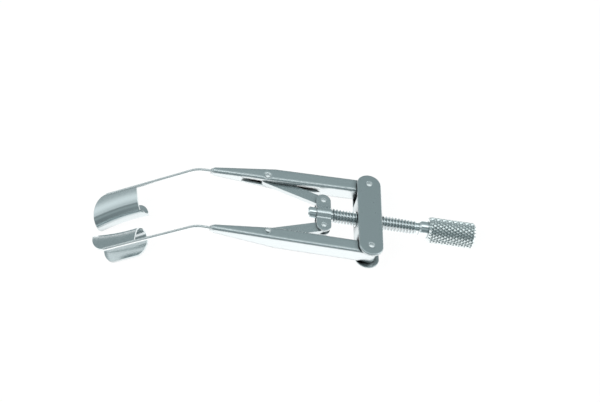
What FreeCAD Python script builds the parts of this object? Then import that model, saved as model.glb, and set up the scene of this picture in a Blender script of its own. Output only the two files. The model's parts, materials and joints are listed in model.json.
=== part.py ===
import FreeCAD, Part
import math
import os

from FreeCAD import Placement, Rotation, Vector

# Adjustable eye speculum, in millimetres.
# Two slotted arms pivot in a bridge and carry a lid blade each on a bent wire. A screw
# runs through the bridge and pushes a yoke, whose two links spread the arms.
# Everything is drawn in the mechanism's frame: X along the screw towards the knob, Z
# square to the arms, the origin midway between the arms' pivots. The upper arm is on +Y.
# The finished instrument is then tipped about Y, so that it lies on its blades and knob.

# Bridge
PIVOT_HALF_SPACING = 8.05
PLATE_END_R = 2.45
PLATE_T = 0.45
PLATE_EDGE_BREAK = 0.16
BRIDGE_GAP = 3.5
BLOCK_HALF_LENGTH = 4.9
BLOCK_CORNER_R = 0.3

# Rivets
PIVOT_PIN_R = 0.6
LINK_PIN_R = 0.55
RIVET_DOME = 0.16
RUNNING_CLEARANCE = 0.03

# Arms, each with its length measured from its pivot
ARM_SIZE = 3.0
ARM_CORNER_R = 1.97
LUG_CLEARANCE = 0.05
TAPER_START = 19.0
TAPER_TIP_SIZE = 1.48
TAPER_TIP_CORNER_R = 0.84
NOSE_LENGTH = 0.8
ARM_LENGTH = 32.0
ARM_REST_ANGLE = 1.0
LINK_PIN_REACH = 20.7
LINK_PIN_INSET = 0.56
SLOT_HEIGHT = 0.9
SLOT_LENGTH = 17.0
SLOT_PAST_PIN = 5.9
SLOT_DEPTH = 2.35

# Links and yoke
LINK_T = 0.8
LINK_W = 2.3
OPEN_PIVOT_CLEARANCE = 0.2
YOKE_X = -9.2
YOKE_PIN_HALF_SPACING = 3.22
YOKE_END_R = 1.475
YOKE_PLATE_T = 0.4
YOKE_BLEND_R = 0.7
YOKE_SIDE_CLEARANCE = 0.05

# Screw, collar and knob
JOURNAL_R = 1.1
THREAD_R = 1.55
THREAD_CLEARANCE = 0.05
THREAD_END = 9.8
RELIEF_R = 1.2
RELIEF_W = 0.6
NECK_R = 1.72
SPIGOT_R = 1.2
SPIGOT_LENGTH = 6.5
END_PLAY = 0.05
COLLAR_R = 1.35
COLLAR_LENGTH = 1.65
COLLAR_BREAK = 0.3
COLLAR_CAP = 0.15
KNOB_START = 12.25
KNOB_LENGTH = 9.6
KNOB_R = 2.6
KNOB_BREAK = 0.4

# Wires
WIRE_R = 0.33
WIRE_SEAT = 1.6
WIRE_STRAIGHT = 1.52
WIRE_BEND_R = 4.0
WIRE_SLOPE = 34.1
WIRE_RUN = 11.96
WIRE_ON_BLADE = 6.6

# Blades: a sheet gutter whose legs open outward. The wire lies on the top leg's edge.
# Lengths run along the wire from the blade's near end, widths inward from the wire.
SHEET_T = 0.4
GUTTER_R = 2.3
GUTTER_IN = 2.8
GUTTER_DOWN = 2.74
TOP_LEG_BOW_R = 11.5
SADDLE_R = 31.0
SADDLE_MIDDLE = 2.2
TOP_LEG_LENGTH = 9.65
TOP_CORNER_LENGTH = 3.1
LID_LEG_SLOPE = 2.0
LID_LEG_EDGE = 0.65
LID_LEG_START = -0.6
LID_LEG_END = 8.95
LID_CORNER_LENGTH = 2.45
LID_CORNER_WIDTH = 3.75
HEEL_DOWN = 1.95
HEEL_ROUND_DOWN = 3.3
TOE_ROUND_DOWN = 2.2
LEG_SPLIT_DOWN = 4.3

UP = Vector(0, 0, 1)
ALONG = Vector(1, 0, 0)
MARGIN = 1.0

# Worked out from the dimensions above
BLOCK_HALF_H = BRIDGE_GAP / 2
LUG_HALF_H = BLOCK_HALF_H - LUG_CLEARANCE
ARM_HALF = ARM_SIZE / 2
TAPER_END = ARM_LENGTH - NOSE_LENGTH
TAPER_LENGTH = TAPER_END - TAPER_START
TIP_HALF = TAPER_TIP_SIZE / 2
YOKE_INNER_Z = LINK_T / 2 + YOKE_SIDE_CLEARANCE
YOKE_OUTER_Z = YOKE_INNER_Z + YOKE_PLATE_T
YOKE_BORE_R = JOURNAL_R + RUNNING_CLEARANCE
JOURNAL_START = YOKE_X - YOKE_END_R - END_PLAY
THREAD_START = YOKE_X + YOKE_END_R + END_PLAY


def box(x0, x1, y0, y1, z0, z1):
    return Part.makeBox(x1 - x0, y1 - y0, z1 - z0, Vector(x0, y0, z0))


def rod(radius, start, length, along=ALONG):
    return Part.makeCylinder(radius, length, start, along)


def stadium(half_spacing, end_r, z0, z1):
    """A flat plate with round ends, its length along Y."""
    plate = box(-end_r, end_r, -half_spacing, half_spacing, z0, z1)
    for side in (-1, 1):
        plate = plate.fuse(rod(end_r, Vector(0, side * half_spacing, z0), z1 - z0, UP))
    return plate.removeSplitter()


def edges_at_height(shape, height):
    """Edges that lie whole in the level plane at this height."""
    level = []
    for edge in shape.Edges:
        bounds = edge.BoundBox
        if abs(bounds.ZMin - height) < 1e-4 and abs(bounds.ZMax - height) < 1e-4:
            level.append(edge)
    return level


def bridge_plate(side):
    """Top plate for side 1, bottom plate for side -1, with its outer edge broken."""
    inner = BLOCK_HALF_H
    outer = BLOCK_HALF_H + PLATE_T
    plate = stadium(PIVOT_HALF_SPACING, PLATE_END_R, inner, outer)
    plate = plate.makeChamfer(PLATE_EDGE_BREAK, edges_at_height(plate, outer))
    for end in (-1, 1):
        centre = Vector(0, end * PIVOT_HALF_SPACING, inner)
        plate = plate.cut(rod(PIVOT_PIN_R, centre, PLATE_T, UP))
    if side < 0:
        plate.rotate(Vector(), ALONG, 180)
    return plate


def bridge_block():
    """Spacer between the plates, bored through for the screw."""
    block = box(-PLATE_END_R, PLATE_END_R, -BLOCK_HALF_LENGTH, BLOCK_HALF_LENGTH,
                -BLOCK_HALF_H, BLOCK_HALF_H)
    corners = [edge for edge in block.Edges if abs(edge.tangentAt(0).dot(UP)) > 0.9]
    block = block.makeFillet(BLOCK_CORNER_R, corners)
    bore_r = THREAD_R + THREAD_CLEARANCE
    return block.cut(rod(bore_r, Vector(-PLATE_END_R, 0, 0), 2 * PLATE_END_R))


def rivet(radius, face_height, centre):
    """Pin through a stack, with both ends domed over its outer faces."""
    pin = rod(radius, Vector(centre.x, centre.y, -face_height), 2 * face_height, UP)
    dome_r = (radius ** 2 + RIVET_DOME ** 2) / (2 * RIVET_DOME)
    for side in (-1, 1):
        ball_z = side * (face_height + RIVET_DOME - dome_r)
        ball = Part.makeSphere(dome_r, Vector(centre.x, centre.y, ball_z))
        low, high = sorted((side * face_height, side * (face_height + MARGIN)))
        cap = rod(radius, Vector(centre.x, centre.y, low), high - low, UP)
        pin = pin.fuse(ball.common(cap))
    return pin.removeSplitter()


def arm_frame(shape):
    """From the arm's own frame, its pivot at the origin, to its place in the bridge."""
    shape.Placement = Placement(Vector(0, PIVOT_HALF_SPACING, 0),
                                Rotation(UP, ARM_REST_ANGLE)).multiply(shape.Placement)
    return shape


def square_bar():
    """Sharp-cornered bar: straight from the pivot, then a long taper to a small square nose."""
    bar = box(-TAPER_START, 0, -ARM_HALF, ARM_HALF, -ARM_HALF, ARM_HALF)
    taper = Part.makeWedge(-ARM_HALF, 0, -ARM_HALF, -TIP_HALF, -TIP_HALF,
                           ARM_HALF, TAPER_LENGTH, ARM_HALF, TIP_HALF, TIP_HALF)
    taper.rotate(Vector(), UP, 90)
    taper.translate(Vector(-TAPER_START, 0, 0))
    nose = box(-ARM_LENGTH, -TAPER_END, -TIP_HALF, TIP_HALF, -TIP_HALF, TIP_HALF)
    return bar.fuse(taper).fuse(nose)


def turned_envelope():
    """Round form that breaks the bar's corners and turns its nose down to the wire."""
    straight = rod(ARM_CORNER_R, Vector(), TAPER_START, -ALONG)
    taper = Part.makeCone(ARM_CORNER_R, TAPER_TIP_CORNER_R, TAPER_LENGTH,
                          Vector(-TAPER_START, 0, 0), -ALONG)
    nose = Part.makeCone(TAPER_TIP_CORNER_R, WIRE_R + NOSE_LENGTH / 4, NOSE_LENGTH,
                         Vector(-TAPER_END, 0, 0), -ALONG)
    return straight.fuse(taper).fuse(nose)


def arm_slot():
    """Slot in the arm's inner side, left by a disc cutter, that takes the link."""
    half_chord = SLOT_LENGTH / 2
    middle = LINK_PIN_REACH + SLOT_PAST_PIN - half_chord
    cutter_r = (half_chord ** 2 + SLOT_DEPTH ** 2) / (2 * SLOT_DEPTH)
    centre = Vector(-middle, SLOT_DEPTH - cutter_r - ARM_HALF, -SLOT_HEIGHT / 2)
    return rod(cutter_r, centre, SLOT_HEIGHT, UP)


def link_pin_in_arm():
    return Vector(-LINK_PIN_REACH, -LINK_PIN_INSET, 0)


def arm():
    lug = rod(ARM_HALF, Vector(0, 0, -LUG_HALF_H), 2 * LUG_HALF_H, UP)
    body = square_bar().common(turned_envelope()).fuse(lug).removeSplitter()
    bore_r = PIVOT_PIN_R + RUNNING_CLEARANCE
    body = body.cut(rod(bore_r, Vector(0, 0, -LUG_HALF_H), 2 * LUG_HALF_H, UP))
    body = body.cut(arm_slot())
    pin = link_pin_in_arm()
    body = body.cut(rod(LINK_PIN_R, Vector(pin.x, pin.y, -ARM_HALF), ARM_SIZE, UP))
    return arm_frame(body.cut(wire_solid()))


def wire_corner():
    """Where the wire's two straight runs would cross, in the arm's frame."""
    tangent = WIRE_BEND_R * math.tan(math.radians(WIRE_SLOPE) / 2)
    return Vector(-ARM_LENGTH - WIRE_STRAIGHT - tangent, 0, 0), tangent


def down_the_wire(length):
    """Point on the wire's sloping run, this far past the end of its bend."""
    corner, tangent = wire_corner()
    slope = math.radians(WIRE_SLOPE)
    reach = tangent + length
    return corner + Vector(-math.cos(slope) * reach, 0, -math.sin(slope) * reach)


def wire_solid():
    start = Vector(-ARM_LENGTH + WIRE_SEAT, 0, 0)
    bend_start = Vector(-ARM_LENGTH - WIRE_STRAIGHT, 0, 0)
    half = math.radians(WIRE_SLOPE) / 2
    bend_mid = bend_start + Vector(-WIRE_BEND_R * math.sin(half), 0,
                                   -WIRE_BEND_R * (1 - math.cos(half)))
    bend_end = down_the_wire(0)
    end = down_the_wire(WIRE_RUN + WIRE_ON_BLADE)
    path = Part.Wire([Part.makeLine(start, bend_start),
                      Part.Arc(bend_start, bend_mid, bend_end).toShape(),
                      Part.makeLine(bend_end, end)])
    section = Part.Wire(Part.makeCircle(WIRE_R, start, ALONG))
    return path.makePipeShell([section], True, False)


def blade_frame(shape):
    """From the blade's frame, X down the wire, Y inward, Z away from the lid, to the arm's."""
    turn = Rotation(Vector(0, 1, 0), -WIRE_SLOPE).multiply(Rotation(UP, 180))
    shape.Placement = Placement(down_the_wire(WIRE_RUN), turn).multiply(shape.Placement)
    return shape


def across_wire(middle, radius, angle):
    """Point square to the wire, at this angle from the blade's up towards its closed side."""
    return middle + Vector(0, math.sin(angle), math.cos(angle)) * radius


def gutter_profile():
    """Section of the sheet: bowed top leg from the wire, half-round closed side, lid leg."""
    side_r = GUTTER_R - SHEET_T / 2
    side_centre = Vector(0, GUTTER_IN, -GUTTER_DOWN)
    apart = TOP_LEG_BOW_R - side_r
    reach = side_centre.Length
    lean = (reach ** 2 + apart ** 2 - TOP_LEG_BOW_R ** 2) / (2 * reach * apart)
    join = math.asin(lean) + math.atan2(GUTTER_DOWN, GUTTER_IN)
    bow_centre = across_wire(side_centre, -apart, join)
    edge = math.atan2(-bow_centre.y, -bow_centre.z) - MARGIN / TOP_LEG_BOW_R
    lid = math.radians(180 - LID_LEG_SLOPE)
    lid_run = Vector(0, math.cos(lid), -math.sin(lid)) * (GUTTER_IN - LID_LEG_EDGE + MARGIN)
    skins = []
    for offset in (SHEET_T / 2, -SHEET_T / 2):
        bow_r = TOP_LEG_BOW_R + offset
        round_r = side_r + offset
        start = across_wire(bow_centre, bow_r, edge)
        top_join = across_wire(side_centre, round_r, join)
        lid_join = across_wire(side_centre, round_r, lid)
        top_leg = Part.Arc(start, across_wire(bow_centre, bow_r, (edge + join) / 2), top_join)
        closed_side = Part.Arc(top_join, across_wire(side_centre, round_r, math.pi / 2), lid_join)
        lid_leg = Part.makeLine(lid_join, lid_join + lid_run)
        skins.append([top_leg.toShape(), closed_side.toShape(), lid_leg])
    outer, inner = skins
    ends = [Part.makeLine(outer[index].Vertexes[index].Point, inner[index].Vertexes[index].Point)
            for index in (0, -1)]
    return Part.Face(Part.Wire(Part.__sortEdges__(outer + inner + ends)))


def gutter_sheet():
    """The section swept round a distant axis, so that the closed side is a shallow saddle."""
    axis = Vector(SADDLE_MIDDLE, GUTTER_IN + GUTTER_R + SADDLE_R, 0)
    half_length = TOP_LEG_LENGTH - SADDLE_MIDDLE + MARGIN
    half_turn = math.degrees(math.asin(half_length / SADDLE_R))
    profile = gutter_profile()
    profile.translate(Vector(SADDLE_MIDDLE, 0, 0))
    profile.rotate(axis, UP, -half_turn)
    return profile.revolve(axis, UP, 2 * half_turn)


def quarter_ellipse(centre, one, other):
    """Edge between centre + one and centre + other, which lie square to each other."""
    minor, major = sorted((one, other), key=lambda half_axis: half_axis.Length)
    curve = Part.Ellipse(centre + major, centre + minor, centre)
    return Part.ArcOfEllipse(curve, 0, math.pi / 2).toShape()


def outline_prism(edges, start, along):
    face = Part.Face(Part.Wire(edges))
    face.translate(start)
    return face.extrude(along)


def top_leg_outline():
    """Plan of the top leg: square at the near end, one long round corner at the toe."""
    inner = GUTTER_IN + GUTTER_R
    outer = 0
    corner_start = TOP_LEG_LENGTH - TOP_CORNER_LENGTH
    width = inner - outer
    a = Vector(LID_LEG_START - MARGIN, outer, 0)
    b = Vector(corner_start, outer, 0)
    c = Vector(TOP_LEG_LENGTH, inner, 0)
    d = Vector(TOP_LEG_LENGTH, inner + MARGIN, 0)
    e = Vector(LID_LEG_START - MARGIN, inner + MARGIN, 0)
    corner = quarter_ellipse(Vector(corner_start, inner, 0), Vector(0, -width, 0),
                             Vector(TOP_CORNER_LENGTH, 0, 0))
    return [Part.makeLine(a, b), corner, Part.makeLine(c, d), Part.makeLine(d, e),
            Part.makeLine(e, a)]


def lid_leg_outline():
    """Plan of the leg under the lid: a D with its straight edge outward."""
    heel = LID_LEG_START + LID_CORNER_LENGTH
    toe = LID_LEG_END - LID_CORNER_LENGTH
    round_y = LID_LEG_EDGE + LID_CORNER_WIDTH
    back = GUTTER_IN + GUTTER_R + MARGIN
    a = Vector(heel, LID_LEG_EDGE, 0)
    b = Vector(toe, LID_LEG_EDGE, 0)
    c = Vector(LID_LEG_END, round_y, 0)
    d = Vector(LID_LEG_END, back, 0)
    e = Vector(LID_LEG_START, back, 0)
    f = Vector(LID_LEG_START, round_y, 0)
    width = Vector(0, -LID_CORNER_WIDTH, 0)
    length = Vector(LID_CORNER_LENGTH, 0, 0)
    toe_corner = quarter_ellipse(Vector(toe, round_y, 0), width, length)
    heel_corner = quarter_ellipse(Vector(heel, round_y, 0), -length, width)
    return [Part.makeLine(a, b), toe_corner, Part.makeLine(c, d), Part.makeLine(d, e),
            Part.makeLine(e, f), heel_corner]


def side_outline():
    """Side view of the gutter: the heel steps out below the top leg, the toe draws in."""
    low = -(GUTTER_DOWN + GUTTER_R + MARGIN)
    heel_drop = HEEL_ROUND_DOWN - HEEL_DOWN
    toe_drop = LEG_SPLIT_DOWN - TOE_ROUND_DOWN
    toe_step = TOP_LEG_LENGTH - LID_LEG_END
    a = Vector(0, 0, MARGIN)
    b = Vector(0, 0, -HEEL_DOWN)
    c = Vector(LID_LEG_START, 0, -HEEL_ROUND_DOWN)
    d = Vector(LID_LEG_START, 0, low)
    e = Vector(LID_LEG_END, 0, low)
    f = Vector(LID_LEG_END, 0, -LEG_SPLIT_DOWN)
    g = Vector(TOP_LEG_LENGTH, 0, -TOE_ROUND_DOWN)
    h = Vector(TOP_LEG_LENGTH, 0, MARGIN)
    heel = quarter_ellipse(Vector(0, 0, -HEEL_ROUND_DOWN), Vector(0, 0, heel_drop),
                           Vector(LID_LEG_START, 0, 0))
    toe = quarter_ellipse(Vector(LID_LEG_END, 0, -TOE_ROUND_DOWN), Vector(0, 0, -toe_drop),
                          Vector(toe_step, 0, 0))
    return [Part.makeLine(a, b), heel, Part.makeLine(c, d), Part.makeLine(d, e),
            Part.makeLine(e, f), toe, Part.makeLine(g, h), Part.makeLine(h, a)]


def blade():
    depth = GUTTER_DOWN + GUTTER_R + MARGIN
    above = outline_prism(top_leg_outline(), Vector(0, 0, -LEG_SPLIT_DOWN),
                          Vector(0, 0, LEG_SPLIT_DOWN + MARGIN))
    below = outline_prism(lid_leg_outline(), Vector(0, 0, -depth),
                          Vector(0, 0, depth - LEG_SPLIT_DOWN))
    side = outline_prism(side_outline(), Vector(0, -MARGIN, 0),
                         Vector(0, depth + 2 * MARGIN, 0))
    sheet = gutter_sheet().common(side)
    shape = sheet.common(above).fuse(sheet.common(below)).removeSplitter()
    return arm_frame(blade_frame(shape).cut(wire_solid()))


def wire():
    return arm_frame(wire_solid())


def arm_link_pin():
    """Centre of the pin that joins the upper link to the upper arm."""
    marker = Part.Vertex(link_pin_in_arm())
    return arm_frame(marker).Vertexes[0].Point


def link():
    """Flat link from the yoke's pin to the arm's, where its hole is left large."""
    near = Vector(YOKE_X, YOKE_PIN_HALF_SPACING, 0)
    far = arm_link_pin()
    reach = far - near
    half_w = LINK_W / 2
    bar = box(0, reach.Length, -half_w, half_w, -LINK_T / 2, LINK_T / 2)
    for x in (0, reach.Length):
        bar = bar.fuse(rod(half_w, Vector(x, 0, -LINK_T / 2), LINK_T, UP))
    bar = bar.removeSplitter()
    near_r = LINK_PIN_R + RUNNING_CLEARANCE
    far_r = LINK_PIN_R + OPEN_PIVOT_CLEARANCE
    for x, hole_r in ((0, near_r), (reach.Length, far_r)):
        bar = bar.cut(rod(hole_r, Vector(x, 0, -LINK_T / 2), LINK_T, UP))
    turn = math.degrees(math.atan2(reach.y, reach.x))
    bar.Placement = Placement(near, Rotation(UP, turn))
    return bar


def yoke_plate(side):
    """Stamped plate whose middle is arched over the screw's journal."""
    arch_r = YOKE_BORE_R + YOKE_PLATE_T
    half_length = YOKE_PIN_HALF_SPACING + YOKE_END_R
    strip = box(-YOKE_END_R, YOKE_END_R, -half_length, half_length, YOKE_INNER_Z, YOKE_OUTER_Z)
    arch = rod(arch_r, Vector(-YOKE_END_R, 0, 0), 2 * YOKE_END_R)
    arch = arch.common(box(-YOKE_END_R, YOKE_END_R, -arch_r, arch_r, YOKE_INNER_Z, arch_r))
    plate = strip.fuse(arch).removeSplitter()
    creases = [edge for edge in edges_at_height(plate, YOKE_OUTER_Z)
               if edge.BoundBox.YLength < 1e-4 and abs(edge.BoundBox.YMin) < arch_r]
    plate = plate.makeFillet(YOKE_BLEND_R, creases)
    plate = plate.cut(rod(YOKE_BORE_R, Vector(-YOKE_END_R, 0, 0), 2 * YOKE_END_R))
    plate = plate.common(stadium(YOKE_PIN_HALF_SPACING, YOKE_END_R, 0, arch_r))
    for end in (-1, 1):
        centre = Vector(0, end * YOKE_PIN_HALF_SPACING, 0)
        plate = plate.cut(rod(LINK_PIN_R, centre, YOKE_OUTER_Z, UP))
    if side < 0:
        plate.rotate(Vector(), ALONG, 180)
    plate.translate(Vector(YOKE_X, 0, 0))
    return plate


def screw():
    """Journal, thread, relief, neck and the spigot that the knob is pressed on."""
    journal_end = JOURNAL_START - COLLAR_LENGTH + COLLAR_CAP
    relief_end = THREAD_END + RELIEF_W
    shaft = rod(JOURNAL_R, Vector(journal_end, 0, 0), THREAD_START - journal_end)
    shaft = shaft.fuse(rod(THREAD_R, Vector(THREAD_START, 0, 0), THREAD_END - THREAD_START))
    shaft = shaft.fuse(rod(RELIEF_R, Vector(THREAD_END, 0, 0), RELIEF_W))
    shaft = shaft.fuse(rod(NECK_R, Vector(relief_end, 0, 0), KNOB_START - relief_end))
    return shaft.fuse(rod(SPIGOT_R, Vector(KNOB_START, 0, 0), SPIGOT_LENGTH)).removeSplitter()


def collar():
    """Cap pressed on the journal's end, which keeps the yoke on the screw."""
    start = JOURNAL_START - COLLAR_LENGTH
    body = rod(COLLAR_R, Vector(start, 0, 0), COLLAR_LENGTH)
    rim = [edge for edge in body.Edges
           if abs(edge.BoundBox.XMax - start) < 1e-4]
    body = body.makeChamfer(COLLAR_BREAK, rim)
    return body.cut(rod(JOURNAL_R, Vector(start + COLLAR_CAP, 0, 0), COLLAR_LENGTH))


def knob():
    body = rod(KNOB_R, Vector(KNOB_START, 0, 0), KNOB_LENGTH)
    rims = [edge for edge in body.Edges if edge.BoundBox.XLength < 1e-4]
    body = body.makeChamfer(KNOB_BREAK, rims)
    return body.cut(rod(SPIGOT_R, Vector(KNOB_START, 0, 0), SPIGOT_LENGTH))


def across(shape):
    """The same piece on the lower arm's side."""
    return shape.mirror(Vector(), Vector(0, 1, 0))


def mechanism():
    """Every piece by name, in the mechanism's frame."""
    pieces = {
        "bridge_top_plate": bridge_plate(1),
        "bridge_bottom_plate": bridge_plate(-1),
        "bridge_block": bridge_block(),
        "yoke_top_plate": yoke_plate(1),
        "yoke_bottom_plate": yoke_plate(-1),
        "screw": screw(),
        "screw_collar": collar(),
        "thumb_knob": knob(),
    }
    pair = {
        "pivot_rivet": rivet(PIVOT_PIN_R, BLOCK_HALF_H + PLATE_T,
                             Vector(0, PIVOT_HALF_SPACING, 0)),
        "arm": arm(),
        "wire": wire(),
        "blade": blade(),
        "link_rivet": rivet(LINK_PIN_R, ARM_HALF, arm_link_pin()),
        "link": link(),
        "yoke_rivet": rivet(LINK_PIN_R, YOKE_OUTER_Z, Vector(YOKE_X, YOKE_PIN_HALF_SPACING, 0)),
    }
    for name, shape in pair.items():
        pieces["upper_" + name] = shape
        pieces["lower_" + name] = across(shape)
    return pieces


def lowest_point(shape, tilt):
    """The shape's lowest point once it is tipped about Y by this angle."""
    sine, cosine = math.sin(tilt), math.cos(tilt)
    points = shape.tessellate(0.02)[0]
    return min(points, key=lambda point: point.z * cosine - point.x * sine)


def rest_tilt(pieces):
    """Angle at which the blades' toes and the knob's rim stand on one level."""
    tilt = 0.0
    for _ in range(6):
        toe = lowest_point(pieces["upper_blade"], tilt)
        rim = lowest_point(pieces["thumb_knob"], tilt)
        tilt = math.atan2(rim.z - toe.z, rim.x - toe.x)
    return tilt


def main():
    os.makedirs("parts", exist_ok=True)
    pieces = mechanism()
    tilt = rest_tilt(pieces)
    tip = Placement(Vector(), Rotation(Vector(0, 1, 0), math.degrees(tilt)))
    for shape in pieces.values():
        shape.Placement = tip.multiply(shape.Placement)
    whole = Part.makeCompound(list(pieces.values())).optimalBoundingBox(True, False)
    shift = Vector(-(whole.XMin + whole.XMax) / 2, 0, -whole.ZMin)
    for name, shape in pieces.items():
        shape.translate(shift)
        shape.exportStep(os.path.join("parts", name + ".step"))
        if len(shape.Solids) != 1 or not shape.isValid():
            print("check", name, len(shape.Solids), shape.isValid())
    print("tilt %.4f degrees, shift %.4f %.4f %.4f"
          % (math.degrees(tilt), shift.x, shift.y, shift.z))
    print("length %.2f width %.2f height %.2f" % (whole.XLength, whole.YLength, whole.ZLength))


main()
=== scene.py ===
import json
import math

import bmesh
import bpy
from mathutils import Euler, Matrix, Vector


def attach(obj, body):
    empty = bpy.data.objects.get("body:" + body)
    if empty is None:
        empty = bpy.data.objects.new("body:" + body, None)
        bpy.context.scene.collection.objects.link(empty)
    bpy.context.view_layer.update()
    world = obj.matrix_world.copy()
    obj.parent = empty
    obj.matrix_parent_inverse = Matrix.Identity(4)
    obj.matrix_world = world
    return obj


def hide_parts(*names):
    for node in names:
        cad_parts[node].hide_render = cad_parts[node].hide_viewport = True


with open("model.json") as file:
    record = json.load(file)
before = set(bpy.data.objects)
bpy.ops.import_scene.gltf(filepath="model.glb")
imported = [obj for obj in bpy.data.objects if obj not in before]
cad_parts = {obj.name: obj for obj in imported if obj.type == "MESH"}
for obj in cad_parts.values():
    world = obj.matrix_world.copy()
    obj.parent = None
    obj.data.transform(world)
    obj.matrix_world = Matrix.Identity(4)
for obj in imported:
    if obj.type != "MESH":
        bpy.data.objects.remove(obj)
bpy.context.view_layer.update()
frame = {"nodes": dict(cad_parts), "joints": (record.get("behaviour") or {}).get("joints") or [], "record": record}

MM = 0.001

# Meshes
MERGE_DISTANCE = 1e-7
SMOOTH_ANGLE = 30
KNURL_SMOOTH_ANGLE = 12

# Screw, in the mechanism's frame, in millimetres
SCREW_SEGMENTS = 48
JOURNAL_START = -12.225
JOURNAL_R = 1.1
THREAD_START = -7.675
THREAD_END = 9.8
THREAD_R = 1.55
THREAD_PITCH = 0.635
THREAD_DEPTH = 0.344
THREAD_CORE_R = 1.19
THREAD_ROOT_FLAT = 0.25
THREAD_CREST_FLAT = 0.125
THREAD_LEAD_IN = 0.35
RELIEF_END = 10.4
RELIEF_R = 1.2
NECK_END = 12.3
NECK_R = 1.72
NECK_EDGE = 0.35

# Knob and its diamond knurl, in millimetres; the land is a share of its diamond
KNOB_START = 12.25
KNOB_END = 21.85
KNOB_R = 2.6
KNOB_CHAMFER = 0.4
KNOB_FACE_R = 2.2
KNOB_BORE_R = 1.5
KNOB_CENTRE_R = 0.5
KNURL_AROUND = 22
KNURL_HALF_ROWS = 15
KNURL_DEPTH = 0.27
KNURL_LAND = 0.32

# Steel: grain is its noise's scale, mottle its colour's change either way, height in metres
GRAIN_DETAIL = 3
GRAIN_RANGE = (0.35, 0.65)
GRAIN_HEIGHT = 0.00002
GLOSS_CHANGE = 0.2
BUMP_PER_MOTTLE = 2
EDGE_SAMPLES = 16
# Painted shade in recesses and where parts meet: samples of its occlusion node, and the occlusion at which it is
# darkest
PAINTED_SHADE_SAMPLES = 6
PAINTED_SHADE_AO_FLOOR = 0.3
# A finish's painted-shade settings give how far its colour is darkened as painted shade in recesses, and over how
# many millimetres
FINISHES = {
    "satin_steel": dict(colour=(0.81, 0.86, 0.87), roughness=0.24, grain=1500, mottle=0.006,
                        edge_mm=1.05, painted_shade=0.85, painted_shade_mm=1.2, stretch=(0.3, 1, 1)),
    "strip_steel": dict(colour=(0.78, 0.83, 0.84), roughness=0.26, grain=1500, mottle=0.005,
                        edge_mm=0.2, painted_shade=0.8, painted_shade_mm=2.0),
    "link_steel": dict(colour=(0.76, 0.81, 0.82), roughness=0.26, grain=1500, mottle=0.005,
                       edge_mm=0.03, painted_shade=0.4, painted_shade_mm=0.8),
    "bridge_steel": dict(colour=(0.66, 0.72, 0.73), roughness=0.3, grain=2600, mottle=0.003,
                         edge_mm=0.4, painted_shade=1.0, painted_shade_mm=2.0),
    "sheet_steel": dict(colour=(0.73, 0.785, 0.795), roughness=0.2, grain=1200, mottle=0.015,
                        edge_mm=0.1, painted_shade=0.55, painted_shade_mm=2.5),
    "polished_steel": dict(colour=(0.97, 1.0, 1.0), roughness=0.38, grain=3000, mottle=0.01,
                           edge_mm=0.03),
    "turned_steel": dict(colour=(0.92, 0.97, 0.98), roughness=0.15, grain=4000, mottle=0.01,
                         edge_mm=0.05, painted_shade=0.65, painted_shade_mm=0.4),
    "knurled_steel": dict(colour=(0.94, 1.0, 1.0), roughness=0.2, grain=4000, mottle=0.01,
                          edge_mm=0.03, painted_shade=0.5, painted_shade_mm=0.4),
}

# Sky: colour by the slant across the room, from the camera's side at 0 to the back at 1
BACK_GREY = (0.27, 0.33, 0.34)
SLANT = 0.14
SKY_BANDS = (
    (0.0, (0.17, 0.21, 0.22)),
    (0.12, (0.15, 0.19, 0.2)),
    (0.22, (0.33, 0.4, 0.41)),
    (0.28, (0.3, 0.37, 0.38)),
    (0.36, (0.13, 0.16, 0.17)),
    (0.43, (0.22, 0.26, 0.27)),
    (0.5, (1.1, 1.2, 1.22)),
    (0.55, (1.5, 1.6, 1.62)),
    (0.59, (1.4, 1.5, 1.52)),
    (0.65, (0.6, 0.67, 0.68)),
    (0.75, (0.41, 0.48, 0.49)),
    (0.82, BACK_GREY),
    (1.0, BACK_GREY),
)
LEFT_GREY = (0.31, 0.36, 0.37)
LEFT_SHARE = 0.5
LEFT_RANGE = (0.1, -0.6)
HAZE_GREY = (0.3, 0.36, 0.37)
HAZE_TOP = 0.35

# Floor, its size in metres and its glow as a strength
FLOOR_SIZE = 8
FLOOR_WHITE = (0.9, 0.9, 0.9, 1)
FLOOR_GLOW = 1.03
FLOOR_REFLECTED_GLOW = 1.2
FLOOR_GLOW_SHARE = 0.94

# Lamp, in metres and watts
LAMP_PLACE = (-0.3, -0.35, 0.55)
LAMP_SIZE = 0.3
LAMP_POWER = 3

# Camera, in the row's frame: place, lens and sensor in millimetres, clipping in metres
CAMERA_PLACE = (-12.16, -316.61, 371.88)
CAMERA_ELEVATION = 48.584
CAMERA_AZIMUTH = 2.699
CAMERA_ROLL = 2.745
CAMERA_LENS = 145.54
SENSOR_WIDTH = 36.0
CLIP_NEAR = 0.01
CLIP_FAR = 50


def mechanism_frame():
    """Matrix from the mechanism's frame to the row's, read from the joints."""
    joints = {joint["name"]: joint for joint in frame["joints"]}
    upper = joints["upper_arm_swing"]
    lower = joints["lower_arm_swing"]
    x_axis = -Vector(joints["screw_turn"]["axis"]).normalized()
    z_axis = -Vector(upper["axis"]).normalized()
    y_axis = z_axis.cross(x_axis)
    matrix = Matrix((x_axis, y_axis, z_axis)).transposed().to_4x4()
    matrix.translation = (Vector(upper["pos_m"]) + Vector(lower["pos_m"])) / 2
    return matrix


MECHANISM = mechanism_frame()


def around(x, radius, angle):
    """Point round the screw's axis, in the row's frame."""
    point = Vector((x, radius * math.cos(angle), radius * math.sin(angle)))
    return MECHANISM @ (point * MM)


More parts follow.
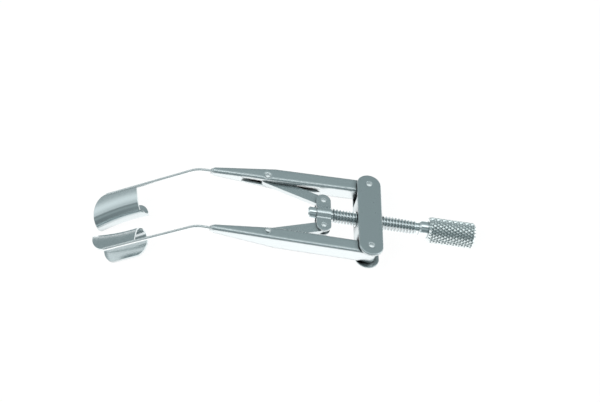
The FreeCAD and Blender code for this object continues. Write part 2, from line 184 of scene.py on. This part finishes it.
def new_object(name, bm, smooth_angle=SMOOTH_ANGLE):
    """Object from a finished bmesh, smooth where its faces meet at less than an angle."""
    bmesh.ops.remove_doubles(bm, verts=bm.verts, dist=MERGE_DISTANCE)
    bmesh.ops.recalc_face_normals(bm, faces=bm.faces)
    mesh = bpy.data.meshes.new(name)
    bm.to_mesh(mesh)
    bm.free()
    mesh.shade_smooth()
    mesh.set_sharp_from_angle(angle=math.radians(smooth_angle))
    obj = bpy.data.objects.new(name, mesh)
    bpy.context.scene.collection.objects.link(obj)
    return obj


def add_rings(bm, stations):
    """Turned skin through (x, radius) stations, closed at both ends."""
    rings = []
    for x, radius in stations:
        rings.append([bm.verts.new(around(x, radius, math.tau * i / SCREW_SEGMENTS))
                      for i in range(SCREW_SEGMENTS)])
    for ring, following in zip(rings, rings[1:]):
        for i in range(SCREW_SEGMENTS):
            j = (i + 1) % SCREW_SEGMENTS
            bm.faces.new((ring[i], ring[j], following[j], following[i]))
    bm.faces.new(rings[0][::-1])
    bm.faces.new(rings[-1])


def thread_profile():
    """Corners of one pitch of a 60 degree thread: share of the pitch, and height."""
    flank = (1 - THREAD_ROOT_FLAT - THREAD_CREST_FLAT) / 2
    rise_end = THREAD_ROOT_FLAT + flank
    return ((0, 0), (THREAD_ROOT_FLAT, 0), (rise_end, THREAD_DEPTH),
            (rise_end + THREAD_CREST_FLAT, THREAD_DEPTH))


def add_thread(bm):
    """Helical skin of the thread, faded out at both ends."""
    turns = math.ceil((THREAD_END - THREAD_START) / THREAD_PITCH) + 1
    rows = []
    for turn in range(-1, turns):
        for share, height in thread_profile():
            row = []
            for i in range(SCREW_SEGMENTS + 1):
                part = i / SCREW_SEGMENTS
                x = THREAD_START + THREAD_PITCH * (turn + share + part)
                inside = max(0, min(x - THREAD_START, THREAD_END - x))
                faded = min(height, inside * THREAD_DEPTH / THREAD_LEAD_IN)
                x = min(max(x, THREAD_START), THREAD_END)
                radius = THREAD_R - THREAD_DEPTH + faded
                row.append(bm.verts.new(around(x, radius, math.tau * part)))
            rows.append(row)
    for row, following in zip(rows, rows[1:]):
        for i in range(SCREW_SEGMENTS):
            bm.faces.new((row[i], row[i + 1], following[i + 1], following[i]))


def make_screw():
    """Journal, core of the thread, relief groove and neck, with the thread's skin."""
    bm = bmesh.new()
    add_rings(bm, (
        (JOURNAL_START, JOURNAL_R),
        (THREAD_START, JOURNAL_R),
        (THREAD_START, THREAD_CORE_R),
        (THREAD_END, THREAD_CORE_R),
        (THREAD_END, RELIEF_R),
        (RELIEF_END, RELIEF_R),
        (RELIEF_END, NECK_R - NECK_EDGE),
        (RELIEF_END + NECK_EDGE, NECK_R),
        (NECK_END, NECK_R),
    ))
    add_thread(bm)
    return new_object("threaded_screw", bm)


def knurl_point(across, along, low):
    """Point on the knurl: across in diamonds round the knob, along in half rows."""
    length = KNOB_END - KNOB_START - 2 * KNOB_CHAMFER
    x = KNOB_START + KNOB_CHAMFER + length * along / KNURL_HALF_ROWS
    radius = KNOB_R - KNURL_DEPTH if low else KNOB_R
    return around(x, radius, math.tau * across / KNURL_AROUND)


def add_diamond(bm, across, row):
    """One pyramid with a small flat land, cut in half at the knurl's ends."""
    corners = []
    for side, ahead in ((-0.5, 0), (0, 1), (0.5, 0), (0, -1)):
        if 0 <= row + ahead <= KNURL_HALF_ROWS:
            foot = knurl_point(across + side, row + ahead, True)
            top = knurl_point(across + side * KNURL_LAND, row + ahead * KNURL_LAND, False)
            corners.append((bm.verts.new(foot), bm.verts.new(top)))
        else:
            corners.append(None)
    for corner, following in zip(corners, corners[1:] + corners[:1]):
        if corner and following:
            bm.faces.new((corner[0], following[0], following[1], corner[1]))
    bm.faces.new([corner[1] for corner in corners if corner])


def add_knob_end(bm, row, face_x, inner_r):
    """Chamfer and flat ring at one end of the knob; returns the ring's inner edge."""
    rims = []
    for i in range(KNURL_AROUND):
        for step, low in ((-0.5, True), (-KNURL_LAND / 2, False), (KNURL_LAND / 2, False)):
            across = i + 0.5 * (row % 2) + step
            angle = math.tau * across / KNURL_AROUND
            rims.append((bm.verts.new(knurl_point(across, row, low)),
                         bm.verts.new(around(face_x, KNOB_FACE_R, angle)),
                         bm.verts.new(around(face_x, inner_r, angle))))
    for rim, following in zip(rims, rims[1:] + rims[:1]):
        bm.faces.new((rim[0], following[0], following[1], rim[1]))
        bm.faces.new((rim[1], following[1], following[2], rim[2]))
    return [rim[2] for rim in rims]


def make_knob():
    """Knurled cylinder, open where the screw enters it and closed at its outer face."""
    bm = bmesh.new()
    for row in range(KNURL_HALF_ROWS + 1):
        for i in range(KNURL_AROUND):
            add_diamond(bm, i + 0.5 * (row % 2), row)
    add_knob_end(bm, 0, KNOB_START, KNOB_BORE_R)
    bm.faces.new(add_knob_end(bm, KNURL_HALF_ROWS, KNOB_END, KNOB_CENTRE_R))
    return new_object("knurled_knob", bm, KNURL_SMOOTH_ANGLE)


def combine(nodes, links, operation, first, second):
    """Math node on two sockets, or on a socket and a number."""
    node = nodes.new("ShaderNodeMath")
    node.operation = operation
    for socket, value in zip(node.inputs, (first, second)):
        if isinstance(value, (int, float)):
            socket.default_value = value
        else:
            links.new(value, socket)
    return node.outputs[0]


def map_range(nodes, links, value, source, target, interpolation="LINEAR"):
    """Value taken from one range to another, and held inside it."""
    node = nodes.new("ShaderNodeMapRange")
    node.interpolation_type = interpolation
    node.inputs["From Min"].default_value = source[0]
    node.inputs["From Max"].default_value = source[1]
    node.inputs["To Min"].default_value = target[0]
    node.inputs["To Max"].default_value = target[1]
    links.new(value, node.inputs["Value"])
    return node.outputs["Result"]


def mix_colours(nodes, links, factor, first, second):
    """Mix of two colours, each a socket or three numbers."""
    node = nodes.new("ShaderNodeMix")
    node.data_type = "RGBA"
    links.new(factor, node.inputs["Factor"])
    for socket, value in zip((node.inputs["A"], node.inputs["B"]), (first, second)):
        if isinstance(value, tuple):
            socket.default_value = (*value, 1)
        else:
            links.new(value, socket)
    return node.outputs["Result"]


def add_grain(nodes, links, grain, stretch):
    """Fine noise over the surface, drawn out along the directions that stretch makes small."""
    place = nodes.new("ShaderNodeTexCoord")
    mapping = nodes.new("ShaderNodeMapping")
    mapping.inputs["Scale"].default_value = stretch
    noise = nodes.new("ShaderNodeTexNoise")
    noise.inputs["Scale"].default_value = grain
    noise.inputs["Detail"].default_value = GRAIN_DETAIL
    links.new(place.outputs["Object"], mapping.inputs["Vector"])
    links.new(mapping.outputs["Vector"], noise.inputs["Vector"])
    return noise.outputs["Fac"]


def add_normal(nodes, links, noise, strength, edge_mm):
    """Normal that is rounded over the edges and roughened by the grain."""
    edges = nodes.new("ShaderNodeBevel")
    edges.samples = EDGE_SAMPLES
    edges.inputs["Radius"].default_value = edge_mm * MM
    bump = nodes.new("ShaderNodeBump")
    bump.inputs["Strength"].default_value = strength
    bump.inputs["Distance"].default_value = GRAIN_HEIGHT
    links.new(noise, bump.inputs["Height"])
    links.new(edges.outputs["Normal"], bump.inputs["Normal"])
    return bump.outputs["Normal"]


def add_painted_shade(nodes, links, shade, painted_shade, painted_shade_mm):
    """Colour darkened with painted shade in recesses, where little of the room can be seen."""
    hollow = nodes.new("ShaderNodeAmbientOcclusion")
    hollow.samples = PAINTED_SHADE_SAMPLES
    hollow.inputs["Distance"].default_value = painted_shade_mm * MM
    painted_shade_factor = map_range(nodes, links, hollow.outputs["AO"], (PAINTED_SHADE_AO_FLOOR, 1), (1 - painted_shade, 1))
    return combine(nodes, links, "MULTIPLY", shade, painted_shade_factor)


def steel(name, colour, roughness, grain, mottle, edge_mm, painted_shade=0, painted_shade_mm=0,
          stretch=(1, 1, 1)):
    """Metal with a fine grain in its gloss and surface, softened edges, and painted shade that darkens its
    recesses.
    """
    material = bpy.data.materials.new(name)
    material.use_nodes = True
    nodes = material.node_tree.nodes
    links = material.node_tree.links
    shader = nodes["Principled BSDF"]
    shader.inputs["Metallic"].default_value = 1
    noise = add_grain(nodes, links, grain, stretch)
    gloss = map_range(nodes, links, noise, (0, 1),
                      (roughness * (1 - GLOSS_CHANGE), roughness * (1 + GLOSS_CHANGE)))
    links.new(gloss, shader.inputs["Roughness"])
    normal = add_normal(nodes, links, noise, BUMP_PER_MOTTLE * mottle, edge_mm)
    links.new(normal, shader.inputs["Normal"])
    shade = map_range(nodes, links, noise, GRAIN_RANGE, (1 - mottle, 1 + mottle))
    # Painted shade: the colour is darkened in recesses and where parts meet
    if painted_shade:
        shade = add_painted_shade(nodes, links, shade, painted_shade, painted_shade_mm)
    tint = nodes.new("ShaderNodeVectorMath")
    tint.operation = "SCALE"
    tint.inputs[0].default_value = colour
    links.new(shade, tint.inputs["Scale"])
    links.new(tint.outputs["Vector"], shader.inputs["Base Color"])
    return material


def make_materials():
    return {name: steel(name, **finish) for name, finish in FINISHES.items()}


def dress(obj, material):
    obj.data.materials.clear()
    obj.data.materials.append(material)


def dress_cad_nodes(materials):
    """Blades, links and the yoke's plates have their own finish, and the rest their slot's."""
    for subpart in frame["record"]["subparts"]:
        node = subpart["node"]
        finish = subpart["material_slot"]
        if node.endswith("blade"):
            finish = "sheet_steel"
        elif node.endswith("link"):
            finish = "link_steel"
        elif node.startswith("yoke"):
            finish = "strip_steel"
        dress(frame["nodes"][node], materials[finish])


def add_turned_pieces(materials):
    """Threaded screw and knurled knob in place of the plain ones."""
    for make, node, finish in ((make_screw, "screw", "turned_steel"),
                               (make_knob, "thumb_knob", "knurled_steel")):
        piece = make()
        dress(piece, materials[finish])
        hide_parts(node)
        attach(piece, "screw_and_knob")


def floor_material():
    """White that glows to the camera and in reflections, and so keeps only a faint shadow."""
    material = bpy.data.materials.new("floor")
    material.use_nodes = True
    nodes = material.node_tree.nodes
    links = material.node_tree.links
    nodes.clear()
    output = nodes.new("ShaderNodeOutputMaterial")
    diffuse = nodes.new("ShaderNodeBsdfDiffuse")
    diffuse.inputs["Color"].default_value = FLOOR_WHITE
    glow = nodes.new("ShaderNodeEmission")
    glow.inputs["Color"].default_value = (1, 1, 1, 1)
    path = nodes.new("ShaderNodeLightPath")
    reflected = path.outputs["Is Glossy Ray"]
    strength = map_range(nodes, links, reflected, (0, 1), (FLOOR_GLOW, FLOOR_REFLECTED_GLOW))
    links.new(strength, glow.inputs["Strength"])
    seen = combine(nodes, links, "MAXIMUM", path.outputs["Is Camera Ray"], reflected)
    mix = nodes.new("ShaderNodeMixShader")
    links.new(combine(nodes, links, "MULTIPLY", seen, FLOOR_GLOW_SHARE), mix.inputs[0])
    links.new(diffuse.outputs[0], mix.inputs[1])
    links.new(glow.outputs[0], mix.inputs[2])
    links.new(mix.outputs[0], output.inputs["Surface"])
    return material


def make_floor():
    bpy.ops.mesh.primitive_plane_add(size=FLOOR_SIZE)
    floor = bpy.context.object
    floor.name = "floor"
    floor.data.materials.append(floor_material())


def sky_bands(nodes, links, slant):
    """Colour of the sky for a slant from -1 to 1."""
    ramp = nodes.new("ShaderNodeValToRGB")
    elements = ramp.color_ramp.elements
    while len(elements) < len(SKY_BANDS):
        elements.new(0.5)
    for element, (position, colour) in zip(elements, SKY_BANDS):
        element.position = position
        element.color = (*colour, 1)
    half = combine(nodes, links, "MULTIPLY", slant, 0.5)
    links.new(combine(nodes, links, "ADD", half, 0.5), ramp.inputs["Fac"])
    return ramp.outputs["Color"]


def make_world():
    """Studio sky: grey behind, a light strip overhead, dark on the camera's side."""
    world = bpy.data.worlds.new("studio")
    bpy.context.scene.world = world
    world.use_nodes = True
    nodes = world.node_tree.nodes
    links = world.node_tree.links
    place = nodes.new("ShaderNodeTexCoord")
    split = nodes.new("ShaderNodeSeparateXYZ")
    links.new(place.outputs["Generated"], split.inputs["Vector"])
    sideways = combine(nodes, links, "MULTIPLY", split.outputs["X"], SLANT)
    slant = combine(nodes, links, "ADD", split.outputs["Y"], sideways)
    leftward = map_range(nodes, links, split.outputs["X"], LEFT_RANGE, (0, LEFT_SHARE))
    bands = mix_colours(nodes, links, leftward, sky_bands(nodes, links, slant), LEFT_GREY)
    height = map_range(nodes, links, split.outputs["Z"], (0, HAZE_TOP), (0, 1), "SMOOTHSTEP")
    low = combine(nodes, links, "SUBTRACT", 1, height)
    in_front = combine(nodes, links, "LESS_THAN", slant, 0)
    haze = combine(nodes, links, "MULTIPLY", low, in_front)
    sky = mix_colours(nodes, links, haze, bands, HAZE_GREY)
    path = nodes.new("ShaderNodeLightPath")
    seen = mix_colours(nodes, links, path.outputs["Is Camera Ray"], sky, (1, 1, 1))
    links.new(seen, nodes["Background"].inputs["Color"])


def make_lamp():
    """Soft lamp from the left and the camera's side, left out of reflections."""
    lamp = bpy.data.lights.new("key", "AREA")
    lamp.shape = "DISK"
    lamp.size = LAMP_SIZE
    lamp.energy = LAMP_POWER
    obj = bpy.data.objects.new("key", lamp)
    bpy.context.scene.collection.objects.link(obj)
    obj.location = LAMP_PLACE
    obj.rotation_euler = (-Vector(LAMP_PLACE)).to_track_quat("-Z", "Y").to_euler()
    obj.visible_glossy = False


def make_camera():
    camera = bpy.data.cameras.new("camera")
    camera.sensor_fit = "HORIZONTAL"
    camera.sensor_width = SENSOR_WIDTH
    camera.lens = CAMERA_LENS
    camera.clip_start = CLIP_NEAR
    camera.clip_end = CLIP_FAR
    obj = bpy.data.objects.new("camera", camera)
    bpy.context.scene.collection.objects.link(obj)
    turn = Euler((0, 0, -math.radians(CAMERA_AZIMUTH))).to_matrix()
    tip = Euler((math.radians(90 - CAMERA_ELEVATION), 0, 0)).to_matrix()
    roll = Euler((0, 0, math.radians(CAMERA_ROLL))).to_matrix()
    obj.matrix_world = (turn @ tip @ roll).to_4x4()
    obj.location = Vector(CAMERA_PLACE) * MM
    bpy.context.scene.camera = obj


def main():
    materials = make_materials()
    dress_cad_nodes(materials)
    add_turned_pieces(materials)
    make_floor()
    make_world()
    make_lamp()
    make_camera()
    bpy.context.scene.view_settings.view_transform = "Standard"


main()
